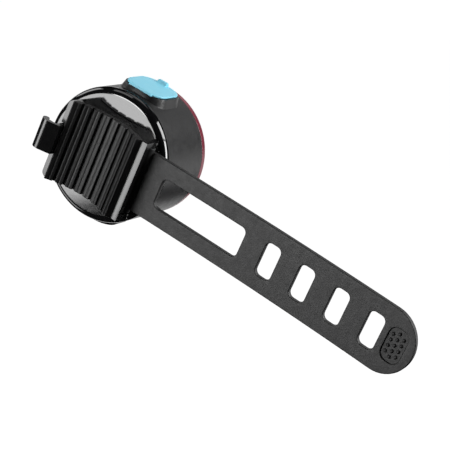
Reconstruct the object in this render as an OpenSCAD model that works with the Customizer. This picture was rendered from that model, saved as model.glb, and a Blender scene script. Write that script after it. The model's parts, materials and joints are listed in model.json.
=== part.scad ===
// Strap-mounted bicycle rear light, seen on the bench with its strap open.
// Millimetres. +X runs along the open strap, +Y along the beam and +Z up the seatpost.
// The origin is where the middle of the ribbed saddle touches the seatpost.

/* [Body] */
// Outer diameter of the round body
body_d = 42.4; // [41:0.2:48]
// Depth of the housing from its parting line to the lens
housing_depth = 21.8; // [20.8:0.2:28]
// Wall of the housing
wall = 1.8; // [1.5:0.1:2.2]
// Depth of the rear cover from its face to the parting line
cover_depth = 2.8; // [2.6:0.1:4]
// Thickness of the rear cover's plate
cover_plate = 2.0; // [1.8:0.1:2.4]
// Radius of the rear cover's rounded edge
cover_edge_r = 1.8; // [0.8:0.1:2.4]
// Length of the spigots that centre the cover and the lens
spigot_len = 2.8; // [2.6:0.1:3.2]
// Wall of the spigots
spigot_wall = 2.1; // [1.8:0.1:2.3]
// Height of the lens rim that shows round the edge
lens_rim = 2.6; // [1.6:0.1:3.4]
// Height of the lens dome above its rim
lens_dome = 3.5; // [2.5:0.1:6]
// Wall of the lens
lens_wall = 1.8; // [1.4:0.1:2.2]

/* [Port and button] */
// Width of the bosses' flat tops across the body
boss_w = 15; // [14.6:0.1:16]
// Distance of the bosses' flat tops from the ends of the housing
boss_edge = 2.45; // [2.2:0.05:2.8]
// Corner radius of the bosses at their tops
boss_r = 5.5; // [4.5:0.1:6]
// Slope of the bosses' walls, in degrees
boss_draft = 18; // [10:1:20]
// Height of the port boss above the round body
boss_rise = 1.1; // [0.8:0.1:1.4]
// Height of the button boss above the round body
button_rise = 1.0; // [0.6:0.1:1.4]
// Margin of the boss round the port cover
cover_margin = 0.5; // [0.3:0.05:0.7]
// Thickness of the port cover's flap
flap_t = 0.6; // [0.5:0.1:1]
// Width of the finger lip on the port cover
lip_w = 3.6; // [3:0.2:6]
// Distance of the finger lip from the middle of the port cover
lip_x = -0.6; // [-2:0.1:2]
// Height of the finger lip above the flap
lip_h = 1.1; // [0.6:0.1:2]
// Width of the pocket behind the port cover
pocket_w = 11.2; // [10:0.2:12]
// Length of the pocket behind the port cover
pocket_l = 7.2; // [6.4:0.2:8]
// Depth of the pocket behind the port cover
pocket_depth = 2.0; // [1.6:0.1:2.2]
// Width and length of the power button
button_w = 8.8; // [7.6:0.2:9.4]
// Height of the power button above its boss
button_proud = 0.6; // [0.5:0.1:1.2]
// Travel of the power button
button_travel = 0.4; // [0.2:0.05:0.45]

/* [Saddle bracket] */
// Radius of the saddle at the tops of its ribs
saddle_r = 19; // [17:0.5:24]
// Thickness of the rubber saddle pad
pad_t = 2.0; // [1.8:0.1:3]
// Half width of the saddle pad
pad_half_w = 13.25; // [12.8:0.05:13.8]
// Length of the saddle pad up the seatpost
pad_h = 26.8; // [24:0.2:28]
// Number of ribs on the pad
rib_count = 8; // [6:1:10]
// Width of the grooves between ribs
groove_w = 0.8; // [0.5:0.1:1]
// Depth of the grooves between ribs
groove_depth = 1.0; // [0.6:0.1:1.3]
// Width of the shallow dip along each rib
dip_w = 0.5; // [0.3:0.1:0.8]
// Depth of the shallow dip along each rib
dip_depth = 0.2; // [0.1:0.05:0.4]
// Plastic between the pad and the rear cover
bracket_floor = 2.55; // [2.4:0.05:4]
// Distance the pad stands past each end of the bracket
pad_over = 0.2; // [0.1:0.05:0.4]
// Distance from the middle of the bracket to its hook side
hook_side = 13.9; // [13.4:0.1:15]
// Wall of the bracket on its hook side
hook_wall = 1.8; // [1.4:0.1:2.2]
// Corner radius of the bracket on its hook side
bracket_r = 1.8; // [1:0.1:2.4]
// Distance from the middle of the bracket to its strap side
ear_side = 15.6; // [15.2:0.1:16.6]
// Width of the strap hook
hook_w = 9.6; // [6:0.2:9.6]
// Thickness of the strap hook
hook_t = 1.9; // [1.4:0.1:2.1]
// Height of the hook's crest above the bracket
hook_rise = 4.45; // [4:0.05:5]
// Height of the hook's root above the bracket
hook_root = 2.85; // [2:0.05:3.2]
// Gap between the hook's lip and the bracket
hook_gap = 3.2; // [2.4:0.1:4]
// Length of the hook's lip below its curl
hook_lip = 1.0; // [1:0.1:3]
// Width of the slots beside the hook's root
relief_w = 0.5; // [0.3:0.1:0.8]
// Depth of the slots beside the hook's root
relief_depth = 1.2; // [0.6:0.1:1.3]

/* [Strap] */
// Width of the strap
strap_w = 20; // [18:0.2:21]
// Thickness of the strap
strap_t = 1.9; // [1.4:0.1:2.4]
// Radius of the strap's lengthwise bow
bow_r = 860; // [600:10:1500]
// Distance from the pin to the strap's window
window_start = 8.45; // [7:0.05:10]
// Length of the strap's window
window_len = 31.25; // [20:0.25:40]
// Width of the strap's window
window_w = 9.7; // [9.7:0.1:12]
// Distance from the window's end to the middle of the first slot
first_slot = 10.1; // [7:0.1:14]
// Distance from slot to slot
slot_pitch = 12.4; // [9:0.1:16]
// Number of slots
slot_count = 4; // [2:1:6]
// Size of a slot along the strap
slot_w = 5.4; // [4:0.1:6]
// Size of a slot across the strap
slot_l = 10.9; // [10:0.1:13]
// Corner radius of the window and the slots
slot_r = 1.8; // [0.8:0.1:2]
// Distance from the middle of the last slot to the strap's tip
tail_len = 14.3; // [13.6:0.1:24]
// Distance from the strap's tip to its grip patch
grip_inset = 3.0; // [2.4:0.1:4]
// Size of the grip patch along the strap
grip_w = 6.5; // [6:0.1:7]
// Size of the grip patch across the strap
grip_l = 10.6; // [10.2:0.1:12]
// Depth of the grip patch
grip_depth = 0.5; // [0.3:0.05:0.8]
// Radius of the bumps in the grip patch
bump_r = 0.65; // [0.5:0.05:0.75]
// Distance from bump to bump along a row
bump_pitch = 1.85; // [1.6:0.05:1.9]
// Radius of the strap's thick root
knuckle_r = 1.9; // [1.7:0.05:2]
// Length of the strap's thick root
knuckle_h = 22.4; // [21.4:0.1:23]
// Radius of the strap pin
pin_r = 0.9; // [0.7:0.05:1]

/* [Inside] */
// Thickness of the battery
battery_t = 5.0; // [4:0.1:5.2]
// Thickness of the foam tape behind the battery
tape_t = 1.2; // [0.8:0.1:1.4]
// Thickness of the circuit board
board_t = 1.6; // [1:0.1:1.6]
// Height of the posts between the board and the reflector
post_h = 3.9; // [3.8:0.1:4.4]
// Distance from the middle to each outer LED
led_ring = 12; // [11.6:0.1:12.2]
// Opening radius of the middle reflector cup
cup_mid_r = 6.3; // [4:0.1:6.4]
// Opening radius of each outer reflector cup
cup_out_r = 4.7; // [3:0.1:4.8]
// Radius of the screws' threads
screw_r = 1.0; // [0.8:0.05:1.1]
// Radius of the screws' heads
head_r = 1.9; // [1.6:0.05:2]
// Height of the screws' heads
head_h = 1.2; // [0.8:0.05:1.2]

/* [Hidden] */
$fn = 96;

// Clearances, each shared by every pair that fits together that way
touch = 0.05;
slip = 0.1;
free = 0.3;
past = 1;

// Body: radii
body_r = body_d / 2;
bore_r = body_r - wall;
spigot_r = bore_r - free;
spigot_in = spigot_r - spigot_wall;
board_gap = 1.4;
board_r = bore_r - board_gap;
seal_depth = 0.9;
seal_floor = spigot_r - seal_depth;
seal_r = (bore_r - seal_floor) / 2 - touch;
seal_ring = (bore_r + seal_floor) / 2;
seal_slot = 2 * seal_r + 2 * slip;
boss_top = body_r + boss_rise;
button_top = body_r + button_rise;
boss_foot = bore_r * cos(30);
boss_l = housing_depth - 2 * boss_edge;

// Stations along the beam, from the saddle to the top of the lens
seat_r = saddle_r + pad_t + touch;
cover_y = pad_t + touch + bracket_floor;
cover_in = cover_y + cover_plate;
part_y = cover_y + cover_depth;
cover_spigot_y = part_y + spigot_len;
front_y = part_y + housing_depth;
lens_spigot_y = front_y - spigot_len;
rim_y = front_y + lens_rim;
dome_y = rim_y + lens_dome;
screw_boss_h = 2.1;
battery_y = cover_in + screw_boss_h + free;
board_y = battery_y + battery_t + tape_t;
board_front = board_y + board_t;
reflector_y = board_front + post_h;
reflector_front = lens_spigot_y - slip;
cover_seal_y = part_y + spigot_len / 2;
lens_seal_y = front_y - spigot_len / 2;

// Screws
screw_hole_r = screw_r + touch;
screw_boss_r = 2.4;
boss_gap = 0.2;
case_ring = spigot_in - screw_boss_r - boss_gap;
case_angles = [46, 134, 226, 314];
case_head_y = cover_y + slip;
screw_reach = 6.4;
case_tip_y = case_head_y + head_h + screw_reach;
bracket_screw_z = 7;
bracket_boss_r = 2.2;
bracket_head_y = pad_t + 2 * touch;
blind_end = 0.3;
bracket_tip_y = cover_in + screw_boss_h - blind_end - boss_gap;

// Board pieces
socket_w = 7.6;
socket_t = 2.6;
socket_l = 5.4;
socket_out = 1.2;
socket_z = [board_r + socket_out - socket_l, board_r + socket_out];
port_y = board_front + socket_t / 2;
switch_w = 6;
switch_t = 3.4;
switch_h = 3.6;
switch_edge = 2.8;
switch_z = [switch_edge - board_r, switch_edge + switch_h - board_r];
switch_tip = 1.2;
switch_guide = 0.3;
switch_y = board_front + switch_t / 2;
switch_r = 0.9;
led_w = 3.2;
led_h = 0.9;
led_r = 1.3;
led_spots = concat([[0, 0]], [for (a = [45 : 90 : 315]) led_ring * [cos(a), sin(a)]]);
cup_in_r = 1.7;
snout_r = 3.4;
snout_lift = 2.1;
snout_y = board_front + snout_lift;
post_r = 1.6;
post_edge = 0.6;
post_ring = board_r - post_r - post_edge;
post_angles = [22, 158, 202, 338];

// Battery: as wide as the screw posts allow and as long as the cover's spigot allows
battery_gap = 0.45;
battery_w = 2 * (case_ring * cos(case_angles[0]) - screw_boss_r - battery_gap);
battery_half = sqrt(pow(spigot_in - battery_gap, 2) - pow(battery_w / 2, 2));
tape_inset = 1.0;
lead_r = 0.5;
lead_x = 2.2;
lead_bend = 1.0;
lead_rise = 0.6;

// Port cover: hinged on a bead that lies in a groove across the boss
flap_w = boss_w - 2 * cover_margin;
flap_l = boss_l - 2 * cover_margin;
flap_r = boss_r - cover_margin;
pocket_r = 1.5;
lip_l = 2.8;
lip_slope = 1.5;
lip_nose = 0.6;
flap_z = boss_top + slip;
hinge_gap = 0.15;
hinge_y = port_y - flap_l / 2 + flap_t;
hinge_half = flap_w / 2 - flap_r + sqrt(pow(flap_r, 2) - pow(flap_r - flap_t, 2));

// Power button
button_r = 2.6;
button_gap = 0.2;
button_wall = 2.4;
flange_over = 1.0;
flange_t = 0.6;
stem_r = 1.2;
flange_z = button_wall + slip - button_top;

// Saddle and bracket
bracket_h = pad_h - 2 * pad_over;
pad_angle = asin(pad_half_w / (saddle_r + pad_t));
rib_angle = 2 * pad_angle / rib_count;
pad_side_gap = 0.6;
pad_wall_gap = 0.2;
land_y = sqrt(pow(seat_r, 2) - pow(pad_half_w + pad_side_gap, 2)) - saddle_r;
hook_land = hook_side - hook_wall;
hook_in_r = 0.5;
hook_out_r = hook_in_r + hook_t;
curl_x = hook_in_r - hook_side - hook_gap;
crest_y = land_y - hook_rise;
curl_y = crest_y + hook_out_r;
hook_reach = [-hook_land - curl_x, land_y - hook_root - curl_y];
hook_turn = atan2(hook_reach[1], hook_reach[0]) - acos(hook_out_r / norm(hook_reach));
pin_inset = 1.4;
pin_x = ear_side - pin_inset;
knuckle_gap = 0.4;
pin_y = cover_y - knuckle_gap - knuckle_r;
bar_y = pin_y - knuckle_r - past;
ear_in = knuckle_h / 2 + free;
pin_cap = 0.7;
pin_top = bracket_h / 2 - pin_cap;

// Strap: near face on a large circle whose middle lies far behind the saddle
strap_far = pin_y + knuckle_r;
strap_near = strap_far - strap_t;
bow_y = strap_near - bow_r;
slot_start = window_start + window_len + first_slot;
tip_x = pin_x + slot_start + (slot_count - 1) * slot_pitch + tail_len;
grip_x = tip_x - grip_inset - grip_w / 2;
grip_corner = 2.6;
bump_columns = [-1.8, 0, 1.8];
bump_counts = [4, 5, 4];
bump_sunk = 0.2;

// Colours
black_gloss = "#17181a";
black_satin = "#3c3e42";
black_rubber = "#242527";
strap_grey = "#3f4042";
sky_blue = "#8fd3ee";
lens_red = "#b0202c";
board_green = "#1d6b3a";
steel = "#b9bcc0";
white_part = "#e6e6e0";

// Box between two limits on each axis
module span(x, y, z) {
    translate([x[0], y[0], z[0]])
        cube([x[1] - x[0], y[1] - y[0], z[1] - z[0]]);
}

// Turns a profile of radius and depth about the beam axis
module turned() {
    rotate([-90, 0, 0])
        rotate_extrude()
            children();
}

// Round bar along the beam
module rod_y(r, y0, y1, x = 0, z = 0) {
    translate([x, y0, z])
        rotate([-90, 0, 0])
            cylinder(r = r, h = y1 - y0);
}

// Round bar up the seatpost
module rod_z(r, z0, z1, x = 0, y = 0) {
    translate([x, y, z0])
        cylinder(r = r, h = z1 - z0);
}

// Round bar along the strap, centred on x = 0
module rod_x(r, half, y, z) {
    translate([-half, y, z])
        rotate([0, 90, 0])
            cylinder(r = r, h = 2 * half);
}

// Outline with round corners
module rounded(w, l, r) {
    square([w - 2 * r, l], center = true);
    square([w, l - 2 * r], center = true);
    for (sx = [-1, 1], sy = [-1, 1])
        translate([sx * (w / 2 - r), sy * (l / 2 - r)])
            circle(r);
}

// Upright prism of a rounded outline, centred on the port
module boss_prism(w, l, r, z0, z1) {
    translate([0, port_y, z0])
        linear_extrude(z1 - z0)
            rounded(w, l, r);
}

// Prism of an outline drawn in x and z, between two depths
module face_prism(y0, y1) {
    translate([0, y1, 0])
        rotate([90, 0, 0])
            linear_extrude(y1 - y0)
                children();
}

// Puts a piece at each case screw
module at_case_screws() {
    for (a = case_angles)
        rotate([0, -a, 0])
            translate([case_ring, 0, 0])
                children();
}

// Puts a piece at each bracket screw
module at_bracket_screws() {
    for (side = [-1, 1])
        translate([0, 0, side * bracket_screw_z])
            children();
}

// Screw along the beam, with its head at y0
module screw(y0, y1) {
    rod_y(head_r, y0, y0 + head_h);
    rod_y(screw_r, y0 + head_h - touch, y1);
}

// Ring of seal cord about the beam axis
module seal(y) {
    turned()
        translate([seal_ring, y])
            circle(seal_r);
}

// Seal groove round a spigot, as a profile
module seal_groove(y) {
    translate([seal_floor, y - seal_slot / 2])
        square([wall + past, seal_slot]);
}

module housing_shell() {
    difference() {
        union() {
            rod_y(body_r, part_y, front_y);
            boss(boss_top);
            rotate([0, 180, 0])
                boss(button_top);
        }
        rod_y(bore_r, part_y - past, front_y + past);
    }
}

// Flat boss with round corners, whose sloping walls run into the round body
module boss(top) {
    spread = (top - boss_foot) * tan(boss_draft);
    core_x = boss_w / 2 - boss_r;
    core_y = boss_l / 2 - boss_r;
    side = boss_w / 2 - touch;
    end = boss_l / 2 - touch;
    translate([0, port_y, 0]) {
        for (sx = [-1, 1], sy = [-1, 1])
            translate([sx * core_x, sy * core_y, boss_foot])
                cylinder(h = top - boss_foot, r1 = boss_r + spread, r2 = boss_r);
        face_prism(-core_y, core_y)
            polygon([[-side - spread, boss_foot], [side + spread, boss_foot], [side, top], [-side, top]]);
        rotate([0, 0, 90])
            face_prism(-core_x, core_x)
                polygon([[-end - spread, boss_foot], [end + spread, boss_foot], [end, top], [-end, top]]);
    }
}

// Inner post for a case screw, with a web out to the wall
module screw_post() {
    web_y = cover_spigot_y + free;
    web_half = 0.8;
    rod_y(screw_boss_r, cover_in + boss_gap, board_y);
    span([0, bore_r + wall / 2 - case_ring], [web_y, board_y], [-web_half, web_half]);
}

module housing() {
    color(black_satin)
    difference() {
        union() {
            housing_shell();
            at_case_screws()
                screw_post();
        }
        at_case_screws()
            rod_y(screw_hole_r, part_y - past, case_tip_y + free);
        // Port: pocket, socket mouth and hinge groove
        boss_prism(pocket_w, pocket_l, pocket_r, boss_top - pocket_depth, boss_top + past);
        boss_prism(socket_w + 2 * free, socket_t + 2 * free, free, 0, boss_top);
        rod_x(flap_t + hinge_gap, hinge_half + hinge_gap, hinge_y, flap_z);
        // Button: hole and a flat seat for its flange
        boss_prism(
            button_w + 2 * button_gap, button_w + 2 * button_gap, button_r + button_gap, -button_top - past, 0
        );
        boss_prism(
            button_w + 2 * flange_over + 2 * free, button_w + 2 * flange_over + 2 * free,
            button_r, button_wall - button_top, 0
        );
    }
}

module rear_cover() {
    color(black_gloss)
    difference() {
        union() {
            turned()
                cover_profile();
            at_bracket_screws()
                rod_y(bracket_boss_r, cover_in - touch, cover_in + screw_boss_h);
        }
        at_case_screws() {
            rod_y(head_r + slip, cover_y - past, case_head_y + head_h);
            rod_y(screw_hole_r + slip, cover_y, cover_in + past);
        }
        at_bracket_screws()
            rod_y(screw_hole_r, cover_y - past, bracket_tip_y + boss_gap);
    }
}

// Plate with a rounded edge and a grooved spigot
module cover_profile() {
    difference() {
        union() {
            translate([0, cover_y])
                square([body_r - cover_edge_r, cover_depth]);
            translate([0, cover_y + cover_edge_r])
                square([body_r, cover_depth - cover_edge_r]);
            intersection() {
                translate([body_r - cover_edge_r, cover_y + cover_edge_r])
                    circle(cover_edge_r);
                translate([0, cover_y])
                    square([body_r, cover_depth]);
            }
            translate([spigot_in, cover_in])
                square([spigot_wall, cover_spigot_y - cover_in]);
        }
        translate([0, cover_in])
            square([spigot_in, spigot_len + cover_depth]);
        seal_groove(cover_seal_y);
    }
}

module cover_seal() {
    color(black_rubber)
        seal(cover_seal_y);
}

module lens_seal() {
    color(black_rubber)
        seal(lens_seal_y);
}

module lens() {
    edge = 0.8;
    dome_half = body_r - edge;
    dome_r = (pow(dome_half, 2) + pow(lens_dome, 2)) / (2 * lens_dome);
    color(lens_red)
    turned()
        difference() {
            union() {
                translate([0, front_y])
                    square([body_r, lens_rim - edge]);
                translate([0, front_y])
                    square([dome_half, lens_rim]);
                translate([dome_half, rim_y - edge])
                    circle(edge);
                intersection() {
                    translate([0, dome_y - dome_r])
                        circle(dome_r, $fn = 720);
                    translate([0, rim_y])
                        square([dome_half, lens_dome]);
                }
                translate([0, lens_spigot_y])
                    square([spigot_r, spigot_len]);
            }
            intersection() {
                translate([0, dome_y - dome_r])
                    circle(dome_r - lens_wall, $fn = 720);
                translate([0, lens_spigot_y - past])
                    square([spigot_in, dome_y - lens_spigot_y]);
            }
            seal_groove(lens_seal_y);
        }
}

module reflector() {
    color(white_part)
    difference() {
        union() {
            rod_y(board_r, reflector_y, reflector_front);
            for (a = post_angles)
                rod_y(post_r, board_front, reflector_y + touch, post_ring * cos(a), post_ring * sin(a));
            for (p = led_spots)
                rod_y(snout_r, snout_y, reflector_y + touch, p[0], p[1]);
        }
        for (p = led_spots)
            cup(p, p == led_spots[0] ? cup_mid_r : cup_out_r);
    }
}

// Cone-shaped reflector cup round an LED
module cup(p, r) {
    translate([p[0], snout_y, p[1]])
        rotate([-90, 0, 0])
            cylinder(r1 = cup_in_r, r2 = r, h = reflector_front - snout_y);
    rod_y(cup_in_r, snout_y - past, snout_y + touch, p[0], p[1]);
    rod_y(r, reflector_front - touch, reflector_front + past, p[0], p[1]);
}

module main_board() {
    color(board_green)
        rod_y(board_r, board_y, board_front);
}

module leds() {
    color(white_part)
    for (p = led_spots)
        translate([p[0], board_front, p[1]]) {
            span([-led_w / 2, led_w / 2], [0, led_h], [-led_w / 2, led_w / 2]);
            translate([0, led_h - touch, 0])
                turned()
                    intersection() {
                        circle(led_r);
                        square(led_r);
                    }
        }
}

module controller_chip() {
    chip_w = 5;
    chip_t = 0.9;
    chip_z = -4.4;
    color(black_rubber)
        span([-chip_w / 2, chip_w / 2], [board_front, board_front + chip_t], [chip_z - chip_w, chip_z]);
}

// Coil and small parts on the front of the board
module board_parts() {
    small = [2, 0.7, 1.2];
    small_pitch = 2.4;
    small_columns = [-8.5, -5.6];
    coil_r = 2;
    coil_h = 1.8;
    coil_x = 7.5;
    color(black_satin) {
        rod_y(coil_r, board_front, board_front + coil_h, coil_x, 0);
        for (x = small_columns, i = [-1 : 1])
            translate([x, board_front, small_pitch * i])
                cube(small);
    }
}

module charge_socket() {
    shell = 0.3;
    depth = 4.4;
    color(steel)
    difference() {
        span([-socket_w / 2, socket_w / 2], [board_front, board_front + socket_t], socket_z);
        span(
            [shell - socket_w / 2, socket_w / 2 - shell],
            [board_front + shell, board_front + socket_t - shell],
            [socket_z[1] - depth, socket_z[1] + past]
        );
    }
}

module tact_switch() {
    guide_end = switch_z[0] + switch_guide + button_travel + slip;
    color(steel)
    difference() {
        span([-switch_w / 2, switch_w / 2], [board_front, board_front + switch_t], switch_z);
        rod_z(switch_r + slip, switch_z[0] - past, guide_end, 0, switch_y);
    }
}

module switch_plunger() {
    color(black_rubber)
        rod_z(switch_r, switch_z[0] - switch_tip, switch_z[0] + switch_guide, 0, switch_y);
}

module battery() {
    color("#c9ccd2")
        span(
            [-battery_w / 2, battery_w / 2],
            [battery_y, battery_y + battery_t],
            [-battery_half, battery_half]
        );
}

module battery_pad() {
    half_w = battery_w / 2 - tape_inset;
    half_h = battery_half - 2 * tape_inset;
    color("#d8d3c4")
        span([-half_w, half_w], [battery_y + battery_t, board_y], [-half_h, half_h]);
}

// Two wires that bend from the end of the battery to the board
module battery_leads() {
    start_y = battery_y + battery_t / 2;
    bend_z = battery_half + lead_rise;
    color("#a02a24")
    for (x = [-lead_x, lead_x]) {
        rod_z(lead_r, battery_half, bend_z, x, start_y);
        translate([x, start_y + lead_bend, bend_z])
            rotate([90, 0, -90])
                rotate_extrude(angle = 90)
                    translate([lead_bend, 0])
                        circle(lead_r);
        rod_y(lead_r, start_y + lead_bend, board_y, x, bend_z + lead_bend);
    }
}

module port_cover() {
    color(sky_blue)
    union() {
        intersection() {
            boss_prism(flap_w, flap_l, flap_r, boss_top - 2 * flap_t, flap_z + flap_t);
            union() {
                span([-boss_w, boss_w], [hinge_y, port_y + boss_l], [flap_z, flap_z + flap_t]);
                rod_x(flap_t, hinge_half, hinge_y, flap_z);
            }
        }
        boss_prism(
            pocket_w - 2 * free, pocket_l - 2 * free, pocket_r - free,
            boss_top - pocket_depth + free, flap_z + touch
        );
        finger_lip();
    }
}

// Raised lip at the free edge of the port cover
module finger_lip() {
    edge_y = port_y + flap_l / 2;
    top_z = flap_z + flap_t;
    foot_y = edge_y - lip_l;
    crest_y0 = edge_y - lip_slope;
    crest_y1 = edge_y - lip_nose;
    translate([lip_x - lip_w / 2, 0, 0])
        rotate([90, 0, 90])
            linear_extrude(lip_w)
                polygon([
                    [foot_y, top_z - touch], [crest_y0, top_z + lip_h], [crest_y1, top_z + lip_h],
                    [edge_y, top_z + lip_h / 2], [edge_y, top_z - touch]
                ]);
}

module power_button() {
    color(black_rubber) {
        boss_prism(button_w, button_w, button_r, -button_top - button_proud, flange_z + flange_t);
        boss_prism(
            button_w + 2 * flange_over, button_w + 2 * flange_over, button_r, flange_z, flange_z + flange_t
        );
        rod_z(stem_r, flange_z, switch_z[0] - switch_tip - slip, 0, switch_y);
    }
}

// Side view of the bracket: block, bar over the strap's root and round ears
module bracket_profile() {
    difference() {
        union() {
            translate([-hook_side, land_y])
                square([hook_side + pin_x, cover_y - land_y]);
            polygon([
                [pin_x - past, land_y], [ear_side, land_y], [ear_side, pin_y], [pin_x - past, pin_y]
            ]);
            translate([pin_x, pin_y])
                circle(knuckle_r);
        }
        intersection() {
            translate([0, -saddle_r])
                circle(seat_r, $fn = 360);
            translate([-hook_land, -saddle_r])
                square([hook_land + seat_r, saddle_r + seat_r]);
        }
    }
}

// Side view of the hook: wall, arm that rises to the curl, and lip
module hook_profile() {
    sunk = relief_depth + past;
    under_y = curl_y - hook_in_r;
    lip_end = curl_y + hook_lip;
    turn = [curl_x + hook_out_r * cos(hook_turn), curl_y + hook_out_r * sin(hook_turn)];
    polygon([
        [-hook_land, land_y + sunk], [-hook_land, land_y - hook_root], turn, [curl_x, turn[1]],
        [curl_x, under_y], [-hook_side, under_y], [-hook_side, land_y + sunk]
    ]);
    difference() {
        intersection() {
            translate([curl_x, curl_y])
                circle(hook_out_r);
            union() {
                translate([curl_x - hook_out_r, crest_y])
                    square([hook_out_r, hook_out_r]);
                translate([curl_x - past, crest_y])
                    square([past + turn[0] - curl_x, under_y - crest_y]);
            }
        }
        translate([curl_x, curl_y])
            circle(hook_in_r);
    }
    translate([curl_x - hook_out_r, curl_y])
        square([hook_t, hook_lip - hook_t / 2]);
    translate([curl_x - hook_out_r + hook_t / 2, lip_end - hook_t / 2])
        circle(hook_t / 2);
}

// Block of the bracket, with round corners and relief slots on its hook side
module bracket_block() {
    plan_w = 2 * (hook_side + ear_side);
    difference() {
        intersection() {
            translate([0, 0, -bracket_h / 2])
                linear_extrude(bracket_h)
                    bracket_profile();
            face_prism(land_y - past, cover_y + past)
                translate([plan_w / 2 - hook_side, 0])
                    rounded(plan_w, bracket_h + touch, bracket_r);
        }
        for (side = [-1, 1])
            translate([0, 0, side * (hook_w + relief_w) / 2])
                span(
                    [-hook_side - past, -hook_land + pad_wall_gap],
                    [land_y - past, land_y + relief_depth], [-relief_w / 2, relief_w / 2]
                );
    }
}

module bracket() {
    color(black_satin)
    difference() {
        union() {
            bracket_block();
            translate([0, 0, -hook_w / 2])
                linear_extrude(hook_w)
                    hook_profile();
        }
        span(
            [pin_x - knuckle_r - free, ear_side + knuckle_r], [bar_y, cover_y + past], [-ear_in, ear_in]
        );
        rod_z(pin_r + touch, -bracket_h, pin_top, pin_x, pin_y);
        at_bracket_screws() {
            rod_y(head_r + slip, -past, bracket_head_y + head_h);
            rod_y(screw_hole_r + slip, 0, cover_y + past);
        }
    }
}

module saddle_pad() {
    color(black_rubber)
    translate([0, -saddle_r, 0])
        difference() {
            rotate([0, 0, 90 - pad_angle])
                rotate_extrude(angle = 2 * pad_angle, $fn = 360)
                    translate([saddle_r, -pad_h / 2])
                        square([pad_t, pad_h]);
            span([-seat_r, pad_wall_gap - hook_land], [0, seat_r], [-pad_h, pad_h]);
            for (i = [1 : rib_count - 1])
                rib_cut(i * rib_angle - pad_angle, groove_w, groove_depth);
            for (i = [0 : rib_count - 1])
                rib_cut((i + 0.5) * rib_angle - pad_angle, dip_w, dip_depth);
        }
}

// Cut along the pad at an angle from its middle
module rib_cut(angle, w, depth) {
    rotate([0, 0, -angle])
        span([-w / 2, w / 2], [saddle_r - past, saddle_r + depth], [-pad_h, pad_h]);
}

// Flat outline of the strap with its window and slots
module strap_outline() {
    end_x = tip_x - strap_w / 2;
    difference() {
        union() {
            translate([pin_x, -strap_w / 2])
                square([end_x - pin_x, strap_w]);
            translate([end_x, 0])
                circle(strap_w / 2);
        }
        translate([pin_x + window_start + window_len / 2, 0])
            rounded(window_len, window_w, slot_r);
        for (i = [0 : slot_count - 1])
            translate([pin_x + slot_start + i * slot_pitch, 0])
                rounded(slot_w, slot_l, slot_r);
    }
}

// Round bar of the strap's bow, up to a depth below the near face
module bow(depth) {
    translate([0, bow_y, -strap_w])
        cylinder(r = bow_r + depth, h = 2 * strap_w, $fn = 1440);
}

// Grip patch near the strap's tip: staggered rows of bumps on its floor
module grip_bumps() {
    for (c = [0 : len(bump_columns) - 1], i = [0 : bump_counts[c] - 1]) {
        x = grip_x + bump_columns[c];
        floor_y = bow_y + sqrt(pow(bow_r + grip_depth, 2) - pow(x, 2));
        translate([x, floor_y + bump_sunk, (i - (bump_counts[c] - 1) / 2) * bump_pitch])
            sphere(bump_r, $fn = 24);
    }
}

module strap() {
    reach = tip_x * tip_x / bow_r + strap_t;
    color(strap_grey)
    difference() {
        union() {
            intersection() {
                face_prism(strap_near - reach, strap_far + past)
                    strap_outline();
                difference() {
                    bow(strap_t);
                    bow(0);
                    intersection() {
                        bow(grip_depth);
                        face_prism(strap_near - reach, strap_far + past)
                            translate([grip_x, 0])
                                rounded(grip_w, grip_l, grip_corner);
                    }
                }
            }
            grip_bumps();
            rod_z(knuckle_r, -knuckle_h / 2, knuckle_h / 2, pin_x, pin_y);
        }
        rod_z(pin_r + slip, -knuckle_h, knuckle_h, pin_x, pin_y);
    }
}

module strap_pin() {
    color(steel)
        rod_z(pin_r, -bracket_h / 2, pin_top - slip, pin_x, pin_y);
}

module case_screws() {
    color(steel)
        at_case_screws()
            screw(case_head_y, case_tip_y);
}

module bracket_screws() {
    color(steel)
        at_bracket_screws()
            screw(bracket_head_y, bracket_tip_y);
}

housing();
rear_cover();
cover_seal();
lens();
lens_seal();
reflector();
main_board();
leds();
controller_chip();
board_parts();
charge_socket();
tact_switch();
switch_plunger();
battery();
battery_pad();
battery_leads();
port_cover();
power_button();
bracket();
saddle_pad();
strap();
strap_pin();
case_screws();
bracket_screws();
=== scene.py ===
"""Strap-mounted bicycle rear light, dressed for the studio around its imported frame.

Metres, in the frame's own axes: +X along the open strap, +Y along the beam, +Z up the seatpost.
Sizes of the pieces are in millimetres, as in the solid model.
"""

import json
import math

import bmesh
import bpy
from mathutils import Matrix, Vector
from mathutils.geometry import delaunay_2d_cdt


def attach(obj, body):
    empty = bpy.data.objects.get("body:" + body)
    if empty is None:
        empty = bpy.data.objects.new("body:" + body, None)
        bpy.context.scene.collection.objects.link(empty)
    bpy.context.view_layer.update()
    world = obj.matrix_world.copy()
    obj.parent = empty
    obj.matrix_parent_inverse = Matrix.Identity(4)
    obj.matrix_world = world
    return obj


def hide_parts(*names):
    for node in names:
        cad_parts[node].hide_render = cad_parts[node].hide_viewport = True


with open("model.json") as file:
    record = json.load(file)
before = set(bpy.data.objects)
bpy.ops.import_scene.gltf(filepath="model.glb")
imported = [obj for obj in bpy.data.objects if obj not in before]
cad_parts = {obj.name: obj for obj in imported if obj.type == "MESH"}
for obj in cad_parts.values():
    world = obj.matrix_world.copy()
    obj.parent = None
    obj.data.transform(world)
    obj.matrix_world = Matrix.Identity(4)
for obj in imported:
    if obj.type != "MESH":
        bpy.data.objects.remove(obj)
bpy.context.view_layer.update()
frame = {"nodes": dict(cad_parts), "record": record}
NODES = frame["nodes"]
MM = 0.001

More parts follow.
